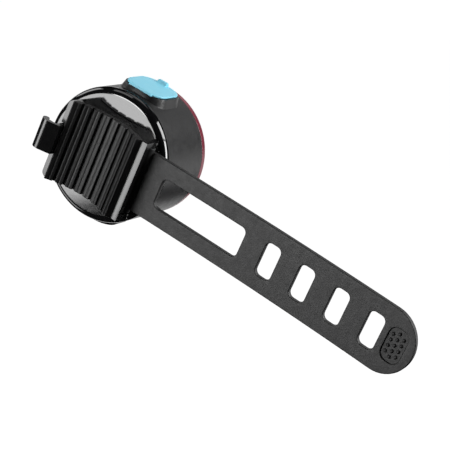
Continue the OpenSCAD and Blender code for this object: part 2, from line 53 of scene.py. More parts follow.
# Camera: where it looks, from where, and how far it is tilted
AIM = Vector((47.25, 0.0, 2.91)) * MM
AZIMUTH = math.radians(20.479)
ELEVATION = math.radians(19.683)
ROLL = math.radians(24.101)
DISTANCE = 422.95 * MM
FOCAL_LENGTH = 115.35
SENSOR = 36.0
CLIP_NEAR = 0.01
CLIP_FAR = 50.0

# Studio: a white sweep, and a black tent that only reflections see
FLOOR_Z = -0.6
WALL_TOP = 0.85
FLOOR_R = 4.0
FLOOR_GREY = 0.86
FLOOR_GLOW = 0.97
FLAG_R = 3.9
FLAG_LIFT = 0.01
FLAG_TOP = 5.0
FLAG_BACK = 1.7
FLAG_GAP = 0.15
FLAG_GREY = 0.004
FLAG_ROUGH = 0.9
SWEEP_STEPS = 96
ROOM_LEVEL = 0.05

# Lamps: degrees to the right of the camera and above it, width and height in degrees, radiance
LAMP_DISTANCE = 0.6
LAMP_TARGET = Vector((0.0, 0.01, 0.0))
LAMPS = (
    ("key", -55, -4.1, 48, 20.2, 5.6),
    ("low", -98, -24, 20, 20, 2.0),
    ("top", 108, 72, 26, 26, 0.7),
    ("left_high", -108, 48, 24, 24, 2.5),
    ("right", 84, 2, 26, 24, 10.0),
    ("right_high", 85, 27, 40, 22, 6.5),
    ("front_top", -36, 72, 24, 24, 1.0),
    ("rear", 160, 28, 40, 30, 0.75),
    ("rear_low", -178, -6, 40, 40, 1.3),
    ("front_high", -40, 11, 24, 9, 12.0),
)

# Finishes: darkest and lightest colour, range of roughness, size and depth of the grain in millimetres
FINISHES = {
    "satin_black": ((0.007, 0.007, 0.0075), (0.010, 0.010, 0.0105), (0.36, 0.44), 0.25, 0.003),
    "gloss_black": ((0.004, 0.004, 0.0045), (0.006, 0.006, 0.0065), (0.06, 0.10), 1.5, 0.0006),
    "black_rubber": ((0.004, 0.004, 0.0042), (0.007, 0.007, 0.0072), (0.42, 0.52), 0.3, 0.006),
    "bracket_black": ((0.005, 0.005, 0.0052), (0.008, 0.008, 0.0082), (0.15, 0.20), 0.35, 0.004),
    "strap_rubber": ((0.005, 0.005, 0.0052), (0.008, 0.008, 0.0082), (0.5, 0.6), 0.6, 0.05),
    "blue_silicone": ((0.25, 0.72, 0.92), (0.29, 0.76, 0.94), (0.35, 0.45), 0.4, 0.004),
    "red_lens": ((0.17, 0.020, 0.036), (0.21, 0.028, 0.048), (0.22, 0.3), 0.8, 0.002),
    "steel": ((0.5, 0.5, 0.51), (0.6, 0.6, 0.61), (0.25, 0.35), 0.2, 0.002),
    "reflector_white": ((0.74, 0.74, 0.73), (0.8, 0.8, 0.79), (0.2, 0.3), 0.5, 0.002),
    "board_green": ((0.02, 0.16, 0.06), (0.03, 0.2, 0.08), (0.3, 0.4), 0.5, 0.004),
    "led_red": ((0.78, 0.74, 0.7), (0.84, 0.8, 0.76), (0.15, 0.25), 0.5, 0.001),
    "chip_black": ((0.02, 0.02, 0.02), (0.03, 0.03, 0.03), (0.5, 0.6), 0.2, 0.003),
    "battery_foil": ((0.5, 0.51, 0.53), (0.58, 0.59, 0.61), (0.3, 0.45), 1.0, 0.01),
    "foam_tape": ((0.62, 0.58, 0.48), (0.7, 0.66, 0.56), (0.8, 0.9), 0.4, 0.03),
    "lead_red": ((0.35, 0.02, 0.02), (0.42, 0.03, 0.03), (0.4, 0.5), 0.3, 0.002),
}

# Shine, and how far the edges are rubbed, where they differ from the usual
USUAL_SHINE = 0.5
SHINE = {"satin_black": 0.45, "gloss_black": 1.0, "bracket_black": 0.75, "strap_rubber": 0.62}
USUAL_WEAR = 0.4
WEAR = {
    "gloss_black": 0.2, "blue_silicone": 0.3, "red_lens": 0.2, "reflector_white": 0.0, "led_red": 0.0,
    "foam_tape": 0.0,
}

# Noise of the colour, sheen and grain, and the rubbed edges
CLOUD_SIZE = 6 * MM
CLOUD_DETAIL = 4.0
CLOUD_RANGE = (0.3, 0.7)
SHEEN_SIZE = CLOUD_SIZE / 3
SHEEN_DETAIL = 5.0
GRAIN_DETAIL = 2.0
NOISE_ROUGH = 0.6
EDGE_RADIUS = 0.25 * MM
EDGE_SAMPLES = 4
EDGE_FACING = (0.99, 0.88)
RUB_SIZE = 1.6 * MM
RUB_DETAIL = 4.0
RUB_RANGE = (0.4, 0.65)
RUB_GAIN = 1.35
RUB_LIFT = 0.006
RUB_POLISH = 0.2

# Colour sockets of a Mix node, by number
MIX_UNDER = 6
MIX_OVER = 7
MIX_RESULT = 2

# Lens of the light: brighter red inside its rim
LENS_INNER = 20.6 * MM
LENS_OUTER = 21.1 * MM
LENS_RED = (0.42, 0.008, 0.012)

# Saddle pad
SADDLE_R = 19.0
PAD_T = 2.0
PAD_HALF_W = 13.25
PAD_ANGLE = math.asin(PAD_HALF_W / (SADDLE_R + PAD_T))
PAD_LEFT = -11.9
PAD_HALF_H = 13.4
PAD_EDGE = 0.22
PAD_BACK_STEPS = 24
RIB_COUNT = 8
RIB_EDGE = 0.26
GROOVE_W = 0.8
GROOVE_DEPTH = 1.0
GROOVE_FOOT = 0.12
DIP_W = 0.7
DIP_DEPTH = 0.1
DIP_STEPS = 4

# Strap
STRAP_W = 20.0
STRAP_T = 1.9
STRAP_EDGE = 0.3
STRAP_NEAR = 2.3
STRAP_STEPS = 44
BOW_R = 860.0
PIN_X = 14.2
PIN_Y = 2.3
STRAP_START = 15.0
TIP_X = 115.49
TIP_STEPS = 24
WINDOW_START = 22.65
WINDOW_END = 53.9
WINDOW_W = 9.7
SLOTS = (64.0, 76.4, 88.8, 101.2)
SLOT_W = 5.4
SLOT_L = 10.9
SLOT_R = 1.8
GRIP_X = 109.25
GRIP_W = 6.5
GRIP_L = 10.6
GRIP_R = 2.6
GRIP_DEPTH = 0.5
GRIP_EDGE = 0.2
GRIP_FOOT = 0.12
GRIP_HALF_X = 3
GRIP_HALF_Z = 5
BUMP_R = 0.65
BUMP_SUNK = 0.2
BUMP_OVER = 0.2
BUMP_PITCH = 1.85
BUMP_COLUMNS = ((-1.8, 4), (0.0, 5), (1.8, 4))
BUMP_RINGS = 5
BUMP_STEPS = 16
KNUCKLE_R = 1.9
KNUCKLE_HALF = 11.2
KNUCKLE_EDGE = 0.3
KNUCKLE_STEPS = 40
PIN_HOLE_R = 1.0
ROOT_FILLET = 1.3
ROOT_STEPS = 8
ROOT_SUNK = 0.12
ROOT_BACK = 0.6
ROOT_START = 1.2

# Port cover
PORT_Y = 18.1
FLAP_W = 14.0
FLAP_L = 15.9
FLAP_R = 5.0
FLAP_Z = 22.4
FLAP_T = 0.6
FLAP_EDGE = 0.32
FLAP_UNDER = 0.1
HINGE_Y = 10.75
HINGE_HALF = 4.3
BEAD_SLACK = 0.02
BEAD_EDGE = 0.25
BEAD_STEPS = 24
PLUG_W = 10.6
PLUG_L = 6.6
PLUG_R = 1.2
PLUG_LOW = 20.6
PLUG_SUNK = 0.05
PLUG_TOP = FLAP_Z + PLUG_SUNK
PLUG_UPPER = 0.1
PLUG_LOWER = 0.3
LIP_X = -0.6
LIP_W = 3.6
LIP_H = 1.1
LIP_L = 2.8
LIP_STEPS = 20
LIP_EDGE = 0.4
LIP_CREST = 0.62
LIP_NOSE = 0.72
LIP_DROP = 0.92
LIP_LEAN = 0.3
LIP_SUNK = 0.1
LIP_FOOT = 0.3

# Power button
BUTTON_W = 8.8
BUTTON_R = 2.6
BUTTON_FACE = -22.8
BUTTON_EDGE = 0.45
BUTTON_UNDER = 0.1
BUTTON_SPACING = 1.6
FLANGE_W = 10.8
FLANGE_Z = -19.7
FLANGE_T = 0.6
FLANGE_EDGE = 0.15
STEM_R = 1.2
STEM_TOP = -16.5
STEM_Y = 18.5
STEM_EDGE = 0.2
STEM_STEPS = 24

# Rear cover: a soft edge down to the parting line, and a spigot with the seal's groove
COVER_R = 21.2
COVER_Y = 4.6
COVER_EDGE = 2.4
COVER_EDGE_STEPS = 14
COVER_LINE = 0.15
COVER_BACK = 6.6
COVER_STEPS = 160
PART_Y = 7.4
SPIGOT_R = 19.1
SPIGOT_IN = 17.0
SPIGOT_END = 10.2
SEAL_FLOOR = 18.2
SEAL_START = 8.15
SEAL_END = 9.45

# Rounded edges on the rigid solids
BEVELS = {"housing": 0.3, "lens": 0.2, "bracket": 0.25, "strap_pin": 0.1}
BEVEL_SEGMENTS = 3
BEVEL_ANGLE = math.radians(40)
WELD_DISTANCE = 0.002 * MM
FLAT_ANGLE = math.radians(0.5)

# Mesh building
AXIS_X = 0
AXIS_Y = 1
AXIS_Z = 2
SHARP_ANGLE = math.radians(35)
FACE_SPACING = 2.0
GRIP_SPACING = 1.0
CLEAR_SHARE = 0.4
ROW_SHIFT = 0.25
MERGE = 1e-6


def make_camera():
    """Camera at the photograph's viewing angle; returns its axes."""
    back = Vector((
        math.sin(AZIMUTH) * math.cos(ELEVATION),
        -math.cos(AZIMUTH) * math.cos(ELEVATION),
        math.sin(ELEVATION),
    ))
    level_right = Vector((0, 0, 1)).cross(back).normalized()
    level_up = back.cross(level_right)
    right = level_right * math.cos(ROLL) + level_up * math.sin(ROLL)
    up = level_up * math.cos(ROLL) - level_right * math.sin(ROLL)
    data = bpy.data.cameras.new("camera")
    data.lens = FOCAL_LENGTH
    data.sensor_width = SENSOR
    data.clip_start = CLIP_NEAR
    data.clip_end = CLIP_FAR
    camera = bpy.data.objects.new("camera", data)
    bpy.context.scene.collection.objects.link(camera)
    rotation = Matrix((right, up, back)).transposed()
    camera.matrix_world = Matrix.Translation(AIM + back * DISTANCE) @ rotation.to_4x4()
    bpy.context.scene.camera = camera
    return right, up, back


# Materials

class Shader:
    """A node material that starts from one Principled shader."""

    def __init__(self, name):
        self.material = bpy.data.materials.new(name)
        self.material.use_nodes = True
        self.tree = self.material.node_tree
        self.tree.nodes.clear()
        output = self.add("ShaderNodeOutputMaterial")
        self.surface = self.add("ShaderNodeBsdfPrincipled")
        self.link(self.surface.outputs["BSDF"], output.inputs["Surface"])
        self.place = self.add("ShaderNodeTexCoord").outputs["Object"]

    def add(self, kind, **values):
        """New node, with some of its settings."""
        node = self.tree.nodes.new(kind)
        for key, value in values.items():
            setattr(node, key, value)
        return node

    def link(self, source, target):
        """Joins two sockets."""
        self.tree.links.new(source, target)

    def set(self, name, value):
        """Sets a constant on the surface."""
        self.surface.inputs[name].default_value = value

    def noise(self, size, detail):
        """Noise whose features are about size metres across."""
        mapping = self.add("ShaderNodeMapping")
        mapping.inputs["Scale"].default_value = [1 / size] * 3
        self.link(self.place, mapping.inputs["Vector"])
        node = self.add("ShaderNodeTexNoise")
        node.inputs["Scale"].default_value = 1.0
        node.inputs["Detail"].default_value = detail
        node.inputs["Roughness"].default_value = NOISE_ROUGH
        self.link(mapping.outputs["Vector"], node.inputs["Vector"])
        return node.outputs["Fac"]

    def ramp(self, source, low, high):
        """Maps a noise onto the colours between two ends."""
        node = self.add("ShaderNodeValToRGB")
        ends = node.color_ramp.elements
        ends[0].position = CLOUD_RANGE[0]
        ends[1].position = CLOUD_RANGE[1]
        ends[0].color = (*low, 1)
        ends[1].color = (*high, 1)
        self.link(source, node.inputs["Fac"])
        return node.outputs["Color"]

    def span(self, source, start, end, low, high):
        """Maps a value from one range onto another, held at its ends."""
        node = self.add("ShaderNodeMapRange")
        node.inputs["From Min"].default_value = start
        node.inputs["From Max"].default_value = end
        node.inputs["To Min"].default_value = low
        node.inputs["To Max"].default_value = high
        self.link(source, node.inputs["Value"])
        return node.outputs["Result"]

    def times(self, a, b):
        """Product of two values."""
        node = self.add("ShaderNodeMath", operation="MULTIPLY")
        self.link(a, node.inputs[0])
        self.link(b, node.inputs[1])
        return node.outputs[0]

    def lower(self, value, mask, share):
        """A value, smaller by a share where the mask is full."""
        return self.times(value, self.span(mask, 0.0, 1.0, 1.0, 1.0 - share))

    def blend(self, mask, under, over):
        """A colour that turns into a plain one where the mask is full."""
        node = self.add("ShaderNodeMix", data_type="RGBA")
        self.link(mask, node.inputs["Factor"])
        self.link(under, node.inputs[MIX_UNDER])
        node.inputs[MIX_OVER].default_value = (*over, 1)
        return node.outputs[MIX_RESULT]

    def centre(self, inner, outer, colour):
        """Turns the colour inside a radius round the Y axis into another one."""
        parts = self.add("ShaderNodeSeparateXYZ")
        self.link(self.place, parts.inputs[0])
        flat = self.add("ShaderNodeCombineXYZ")
        self.link(parts.outputs["X"], flat.inputs["X"])
        self.link(parts.outputs["Z"], flat.inputs["Z"])
        radius = self.add("ShaderNodeVectorMath", operation="LENGTH")
        self.link(flat.outputs[0], radius.inputs[0])
        mask = self.span(radius.outputs["Value"], inner, outer, 1.0, 0.0)
        base = self.surface.inputs["Base Color"]
        self.link(self.blend(mask, base.links[0].from_socket, colour), base)

    def edges(self, amount):
        """Patchy mask along the outer edges, where handling rubs them."""
        soft = self.add("ShaderNodeBevel", samples=EDGE_SAMPLES)
        soft.inputs["Radius"].default_value = EDGE_RADIUS
        true = self.add("ShaderNodeNewGeometry")
        facing = self.add("ShaderNodeVectorMath", operation="DOT_PRODUCT")
        self.link(soft.outputs["Normal"], facing.inputs[0])
        self.link(true.outputs["Normal"], facing.inputs[1])
        rim = self.span(facing.outputs["Value"], *EDGE_FACING, 0.0, 1.0)
        patches = self.span(self.noise(RUB_SIZE, RUB_DETAIL), *RUB_RANGE, 0.0, amount)
        return self.times(rim, patches)

    def bump(self, source, depth):
        """Raises the surface by a noise."""
        node = self.add("ShaderNodeBump")
        node.inputs["Strength"].default_value = 1.0
        node.inputs["Distance"].default_value = depth
        self.link(source, node.inputs["Height"])
        self.link(node.outputs["Normal"], self.surface.inputs["Normal"])


def moulded(name, low, high, rough, grain, depth):
    """Moulded plastic or rubber: faint clouds in its colour and sheen, rubbed edges, a fine grain."""
    shader = Shader(name)
    rubbed = shader.edges(WEAR.get(name, USUAL_WEAR))
    colour = shader.ramp(shader.noise(CLOUD_SIZE, CLOUD_DETAIL), low, high)
    pale = [RUB_GAIN * value + RUB_LIFT for value in high]
    shader.link(shader.blend(rubbed, colour, pale), shader.surface.inputs["Base Color"])
    sheen = shader.span(shader.noise(SHEEN_SIZE, SHEEN_DETAIL), *CLOUD_RANGE, *rough)
    shader.link(shader.lower(sheen, rubbed, RUB_POLISH), shader.surface.inputs["Roughness"])
    shader.bump(shader.noise(grain * MM, GRAIN_DETAIL), depth * MM)
    shader.set("Specular IOR Level", SHINE.get(name, USUAL_SHINE))
    return shader


def make_materials():
    """One material for each slot, by name."""
    made = {name: moulded(name, *values) for name, values in FINISHES.items()}
    made["red_lens"].centre(LENS_INNER, LENS_OUTER, LENS_RED)
    made["steel"].set("Metallic", 1.0)
    return {name: shader.material for name, shader in made.items()}


# Mesh building

class Builder:
    """Collects rings of points in millimetres and the faces between them."""

    def __init__(self):
        self.points = []
        self.faces = []

    def ring(self, points):
        """Adds points and returns their numbers."""
        first = len(self.points)
        self.points.extend(points)
        return list(range(first, len(self.points)))

    def bridge(self, a, b):
        """Quads between two closed rings."""
        for i in range(len(a)):
            j = (i + 1) % len(a)
            self.faces.append((a[i], a[j], b[j], b[i]))

    def tube(self, rings):
        """Walls through a list of rings."""
        for a, b in zip(rings, rings[1:]):
            self.bridge(a, b)

    def solid(self, rings):
        """Walls through a list of rings, closed at both ends."""
        self.tube(rings)
        self.faces.append(tuple(rings[0]))
        self.faces.append(tuple(rings[-1]))

    def walls(self, outlines, levels, place):
        """Walls of a plate along its outlines, as rings; returns those on its two faces."""
        firsts = []
        lasts = []
        for outline in outlines:
            rings = [
                self.ring([place(u, v, depth) for u, v in outline(inset)]) for inset, depth in levels
            ]
            self.tube(rings)
            firsts.append(rings[0])
            lasts.append(rings[-1])
        return firsts, lasts

    def fill(self, rings, loops, inner, spacing, place, depth):
        """Triangles over the flat region inside the first ring and outside the others."""
        indices = [i for ring in rings for i in ring]
        points = [Vector(p) for loop in loops for p in loop]
        edges = []
        start = 0
        for loop in loops:
            n = len(loop)
            edges.extend((start + i, start + (i + 1) % n) for i in range(n))
            start += n
        margin = spacing * CLEAR_SHARE
        kept = [p for p in inner if clear_of(p, loops, margin) and in_region(p, loops)]
        indices += self.ring([place(u, v, depth) for u, v in kept])
        points += [Vector(p) for p in kept]
        made, _, faces, origins, _, _ = delaunay_2d_cdt(points, edges, [], 0, MERGE)
        for face in faces:
            middle = sum((made[i] for i in face), Vector((0, 0))) / len(face)
            if in_region(middle, loops):
                self.faces.append(tuple(indices[origins[i][0]] for i in face))

    def plate(self, outline, levels, place, spacing=FACE_SPACING):
        """Plate with rounded edges, whose outline(inset) has a fixed number of points."""
        firsts, lasts = self.walls([outline], levels, place)
        us, vs = zip(*outline(0.0))
        inner = grid(min(us), max(us), min(vs), max(vs), spacing)
        for rings, (inset, depth) in ((firsts, levels[0]), (lasts, levels[-1])):
            self.fill(rings, [outline(inset)], inner, spacing, place, depth)

    def build(self, name, material, body, nodes):
        """Turns what was collected into a piece that rides a body in place of CAD nodes."""
        mesh = bpy.data.meshes.new(name)
        mesh.from_pydata([Vector(p) * MM for p in self.points], [], self.faces)
        shape = bmesh.new()
        shape.from_mesh(mesh)
        bmesh.ops.recalc_face_normals(shape, faces=shape.faces)
        shape.to_mesh(mesh)
        shape.free()
        mesh.shade_smooth()
        mesh.set_sharp_from_angle(angle=SHARP_ANGLE)
        mesh.materials.append(material)
        piece = bpy.data.objects.new(name, mesh)
        bpy.context.scene.collection.objects.link(piece)
        weighted = piece.modifiers.new("weighted", "WEIGHTED_NORMAL")
        weighted.keep_sharp = True
        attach(piece, body)
        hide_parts(*nodes)


def inside(point, loop):
    """True where a point lies inside a closed outline."""
    x, y = point[0], point[1]
    odd = False
    for (x0, y0), (x1, y1) in zip(loop, loop[1:] + loop[:1]):
        if (y0 > y) != (y1 > y) and x < x0 + (y - y0) * (x1 - x0) / (y1 - y0):
            odd = not odd
    return odd


def in_region(point, loops):
    """True inside the first outline and outside the others."""
    return inside(point, loops[0]) and not any(inside(point, hole) for hole in loops[1:])


def clear_of(point, loops, margin):
    """True where a point keeps its distance from the points of every outline."""
    for loop in loops:
        for x, y in loop:
            if (x - point[0]) ** 2 + (y - point[1]) ** 2 < margin * margin:
                return False
    return True


def turns(count):
    """Angles of a whole turn in equal steps."""
    return [2 * math.pi * k / count for k in range(count)]


def circle(centre, r, axis, count):
    """Points round a centre, in the plane across an axis given by its number."""
    first, second = [i for i in range(3) if i != axis]
    out = []
    for turn in turns(count):
        point = list(centre)
        point[first] += r * math.cos(turn)
        point[second] += r * math.sin(turn)
        out.append(tuple(point))
    return out


def round_edge(radius, steps=4):
    """Insets and depths round an edge, from the flat face to the wall."""
    out = []
    for i in range(steps + 1):
        turn = math.pi / 2 * i / steps
        out.append((radius * (1 - math.sin(turn)), radius * (1 - math.cos(turn))))
    return out


def both_edges(near, far, thickness):
    """Insets and depths from one face of a plate to the other."""
    return round_edge(near) + [(inset, thickness - depth) for inset, depth in reversed(round_edge(far))]


def rounded_ends(half, radius, steps):
    """Places along a bar from end to end, each with its inset, for rounded ends."""
    edge = round_edge(radius, steps)
    out = [(-half + depth, inset) for inset, depth in edge]
    return out + [(half - depth, inset) for inset, depth in reversed(edge)]


def rounded_rect(cx, cy, w, h, r, grow, steps=8):
    """Outline of a rounded rectangle, grown by a distance, with points along its straight sides."""
    corners = []
    for quadrant in range(4):
        x = cx + (1 if quadrant in (0, 3) else -1) * (w / 2 - r)
        y = cy + (1 if quadrant in (0, 1) else -1) * (h / 2 - r)
        for i in range(steps + 1):
            turn = math.pi / 2 * (quadrant + i / steps)
            corners.append((x + (r + grow) * math.cos(turn), y + (r + grow) * math.sin(turn)))
    out = []
    for i, (x0, y0) in enumerate(corners):
        out.append((x0, y0))
        if i % (steps + 1) == steps:
            x1, y1 = corners[(i + 1) % len(corners)]
            straight = h - 2 * r if i // (steps + 1) % 2 else w - 2 * r
            count = max(1, math.ceil(straight / FACE_SPACING))
            for k in range(1, count):
                out.append((x0 + (x1 - x0) * k / count, y0 + (y1 - y0) * k / count))
    return out


def grid(x0, x1, y0, y1, spacing):
    """Points inside a rectangle, in staggered rows."""
    out = []
    columns = max(1, round((x1 - x0) / spacing))
    rows = max(1, round((y1 - y0) / spacing))
    for i in range(columns + 1):
        shift = ROW_SHIFT if i % 2 else -ROW_SHIFT
        for j in range(rows + 1):
            out.append((x0 + (x1 - x0) * i / columns, y0 + (y1 - y0) * (j + shift) / rows))
    return out


# Saddle pad

def pad_point(along, depth):
    """Point of the pad from its distance along the saddle and its depth below the rib tops."""
    turn = along / SADDLE_R
    r = SADDLE_R + depth
    return (r * math.sin(turn), r * math.cos(turn) - SADDLE_R)


def pad_profile(inset):
    """Closed section of the pad; inset rounds it off towards its ends."""
    pitch = 2 * PAD_ANGLE * SADDLE_R / RIB_COUNT
    left_end = SADDLE_R * math.asin(PAD_LEFT / SADDLE_R)
    edge = round_edge(RIB_EDGE, steps=3)
    out = []
    for i in range(RIB_COUNT):
        is_last = i == RIB_COUNT - 1
        start = -PAD_ANGLE * SADDLE_R + i * pitch
        middle = start + pitch / 2
        low = start + GROOVE_W / 2 + inset if i else left_end + inset
        high = start + pitch - (0.0 if is_last else GROOVE_W / 2) - inset
        if i:
            out.append(pad_point(low - GROOVE_FOOT, GROOVE_DEPTH))
            out.append(pad_point(low, GROOVE_DEPTH - GROOVE_FOOT))
        out.extend(pad_point(low + in_by, inset + down) for in_by, down in reversed(edge))
        for k in range(-DIP_STEPS, DIP_STEPS + 1):
            share = k / DIP_STEPS
            dip = DIP_DEPTH * math.cos(share * math.pi / 2) ** 2
            out.append(pad_point(middle + share * DIP_W / 2, inset + dip))
        out.extend(pad_point(high - in_by, inset + down) for in_by, down in edge)
        if not is_last:
            out.append(pad_point(high, GROOVE_DEPTH - GROOVE_FOOT))
            out.append(pad_point(high + GROOVE_FOOT, GROOVE_DEPTH))
    back_r = SADDLE_R + PAD_T
    left_turn = math.asin((PAD_LEFT + inset) / back_r)
    right_turn = PAD_ANGLE - inset / back_r
    for k in range(PAD_BACK_STEPS + 1):
        turn = right_turn + (left_turn - right_turn) * k / PAD_BACK_STEPS
        out.append((back_r * math.sin(turn), back_r * math.cos(turn) - SADDLE_R))
    return out


def make_pad(material):
    """Ribbed rubber pad: its section swept up the seatpost, with rounded ends."""
    builder = Builder()
    rings = []
    for z, inset in rounded_ends(PAD_HALF_H, PAD_EDGE, steps=4):
        rings.append(builder.ring([(x, y, z) for x, y in pad_profile(inset)]))
    builder.solid(rings)
    builder.build("saddle_pad_piece", material, "light", ["saddle_pad"])


# Strap

def strap_place(x, z, depth):
    """Point of the bowed strap at a depth below its near face."""
    return (x, STRAP_NEAR - BOW_R + math.sqrt((BOW_R + depth) ** 2 - x * x), z)


def strap_outline(inset):
    """Outline of the strap from its root to its round tip."""
    half = STRAP_W / 2 - inset
    end_x = TIP_X - STRAP_W / 2
    low = [(STRAP_START + (end_x - STRAP_START) * i / STRAP_STEPS, -half) for i in range(STRAP_STEPS)]
    tip = []
    for i in range(TIP_STEPS + 1):
        turn = math.pi * (i / TIP_STEPS - 0.5)
        tip.append((end_x + half * math.cos(turn), half * math.sin(turn)))
    high = [(x, -z) for x, z in reversed(low)]
    return low + tip + high


def strap_holes():
    """Outlines of the window and the slots, each by how far its edge is set back."""
    middle = (WINDOW_START + WINDOW_END) / 2
    length = WINDOW_END - WINDOW_START
    holes = [lambda inset: rounded_rect(middle, 0, length, WINDOW_W, SLOT_R, inset)]
    for x in SLOTS:
        holes.append(lambda inset, x=x: rounded_rect(x, 0, SLOT_W, SLOT_L, SLOT_R, inset))
    return holes


def make_strap(material):
    """Bowed rubber strap with a window, slots, a grip patch and a round root on the pin."""
    builder = Builder()
    outlines = [strap_outline] + strap_holes()
    firsts, lasts = builder.walls(outlines, both_edges(STRAP_EDGE, STRAP_EDGE, STRAP_T), strap_place)

    def grip(inset):
        """Outline of the grip patch."""
        return rounded_rect(GRIP_X, 0, GRIP_W, GRIP_L, GRIP_R, inset)

    foot = reversed(round_edge(GRIP_FOOT, steps=3))
    levels = round_edge(GRIP_EDGE, steps=3)
    levels += [(inset - GRIP_FOOT, GRIP_DEPTH - depth) for inset, depth in foot]
    rims, floors = builder.walls([grip], levels, strap_place)
    face = [outline(STRAP_EDGE) for outline in outlines]
    inner = grid(STRAP_START, TIP_X, -STRAP_W / 2, STRAP_W / 2, FACE_SPACING)
    builder.fill(firsts + rims, face + [grip(GRIP_EDGE)], inner, FACE_SPACING, strap_place, 0.0)
    builder.fill(lasts, face, inner, FACE_SPACING, strap_place, STRAP_T)
    inner = grid(GRIP_X - GRIP_HALF_X, GRIP_X + GRIP_HALF_X, -GRIP_HALF_Z, GRIP_HALF_Z, GRIP_SPACING)
    builder.fill(floors, [grip(levels[-1][0])], inner, GRIP_SPACING, strap_place, GRIP_DEPTH)
    for column, count in BUMP_COLUMNS:
        for i in range(count):
            add_bump(builder, GRIP_X + column, (i - (count - 1) / 2) * BUMP_PITCH)
    add_knuckle(builder)
    add_root(builder)
    builder.build("strap_piece", material, "strap", ["strap"])


def add_bump(builder, x, z):
    """Round bump on the floor of the grip patch."""
    _, floor_y, _ = strap_place(x, z, GRIP_DEPTH)
    middle_y = floor_y + BUMP_SUNK
    low = math.acos(BUMP_SUNK / BUMP_R) + BUMP_OVER
    rings = []
    for i in range(1, BUMP_RINGS + 1):
        turn = low * i / BUMP_RINGS
        centre = (x, middle_y - BUMP_R * math.cos(turn), z)
        rings.append(builder.ring(circle(centre, BUMP_R * math.sin(turn), AXIS_Y, BUMP_STEPS)))
    builder.tube(rings)
    top = builder.ring([(x, middle_y - BUMP_R, z)])[0]
    for i in range(BUMP_STEPS):
        builder.faces.append((rings[0][i], rings[0][(i + 1) % BUMP_STEPS], top))


def add_knuckle(builder):
    """Sleeve of the strap's round root on the pin."""
    ends = rounded_ends(KNUCKLE_HALF, KNUCKLE_EDGE, steps=4)
    path = [(KNUCKLE_R - inset, z) for z, inset in ends]
    path += [(PIN_HOLE_R, KNUCKLE_HALF), (PIN_HOLE_R, -KNUCKLE_HALF)]
    rings = [builder.ring(circle((PIN_X, PIN_Y, z), r, AXIS_Z, KNUCKLE_STEPS)) for r, z in path]
    builder.tube(rings + [rings[0]])


def add_root(builder):
    """Fillet from the strap's round root into its near face."""
    reach = KNUCKLE_R + ROOT_FILLET
    rise = ROOT_FILLET - (PIN_Y - STRAP_NEAR)
    centre_x = PIN_X + math.sqrt(reach * reach - rise * rise)
    centre_y = STRAP_NEAR - ROOT_FILLET
    start = math.atan2(PIN_Y - centre_y, PIN_X - centre_x)
    section = []
    for i in range(ROOT_STEPS + 1):
        share = i / ROOT_STEPS
        turn = start + (math.pi / 2 - start) * share
        y = centre_y + ROOT_FILLET * math.sin(turn) + ROOT_SUNK * (1 - share)
        section.append((centre_x + ROOT_FILLET * math.cos(turn), y))
    back_y = STRAP_NEAR + ROOT_BACK
    section += [(section[-1][0], back_y), (PIN_X + ROOT_START, back_y)]
    half = STRAP_W / 2 - STRAP_EDGE
    builder.solid([builder.ring([(x, y, z) for x, y in section]) for z in (-half, half)])


# Port cover and power button

def make_port_cover(material):
    """Silicone flap with a rounded edge, a finger lip, a hinge bead and a plug."""
    builder = Builder()
    top = FLAP_Z + FLAP_T
    builder.plate(
        lambda inset: rounded_rect(0, PORT_Y, FLAP_W, FLAP_L, FLAP_R, -inset, steps=12),
        both_edges(FLAP_EDGE, FLAP_UNDER, FLAP_T), lambda u, v, depth: (u, v, top - depth),
    )
    builder.plate(
        lambda inset: rounded_rect(0, PORT_Y, PLUG_W, PLUG_L, PLUG_R, -inset, steps=6),
        both_edges(PLUG_UPPER, PLUG_LOWER, PLUG_TOP - PLUG_LOW),
        lambda u, v, depth: (u, v, PLUG_TOP - depth),
    )
    add_bead(builder)
    add_lip(builder, top)
    builder.build("port_cover_piece", material, "port_cover", ["port_cover"])


def add_bead(builder):
    """Round hinge bead across the flap's front end."""
    rings = []
    for x, inset in rounded_ends(HINGE_HALF, BEAD_EDGE, steps=3):
        r = FLAP_T - BEAD_SLACK - inset
        rings.append(builder.ring(circle((x, HINGE_Y, FLAP_Z), r, AXIS_X, BEAD_STEPS)))
    builder.solid(rings)


def add_lip(builder, top):
    """Finger lip at the free edge: a rounded wedge."""
    start_y = PORT_Y + FLAP_L / 2 - LIP_L
    section = []
    for i in range(LIP_STEPS + 1):
        share = i / LIP_STEPS
        climb = math.sin(min(1.0, share / LIP_CREST) * math.pi / 2) ** 2
        fall = max(0.0, (share - LIP_NOSE) / (1 - LIP_NOSE))
        rise = LIP_H * climb * math.sqrt(max(0.0, 1 - fall * fall * LIP_DROP))
        section.append((start_y + LIP_L * share, rise))
    rings = []
    for along, inset in rounded_ends(LIP_W / 2, LIP_EDGE, steps=5):
        x = LIP_X + along
        share = 1 - inset / LIP_H
        base = top - LIP_SUNK + LIP_SUNK * share
        ring = [(x, y - inset * LIP_LEAN, base + rise * share) for y, rise in section]
        ring += [(x, y - inset * LIP_LEAN, top - LIP_FOOT) for y, _ in reversed(section)]
        rings.append(builder.ring(ring))
    builder.solid(rings)


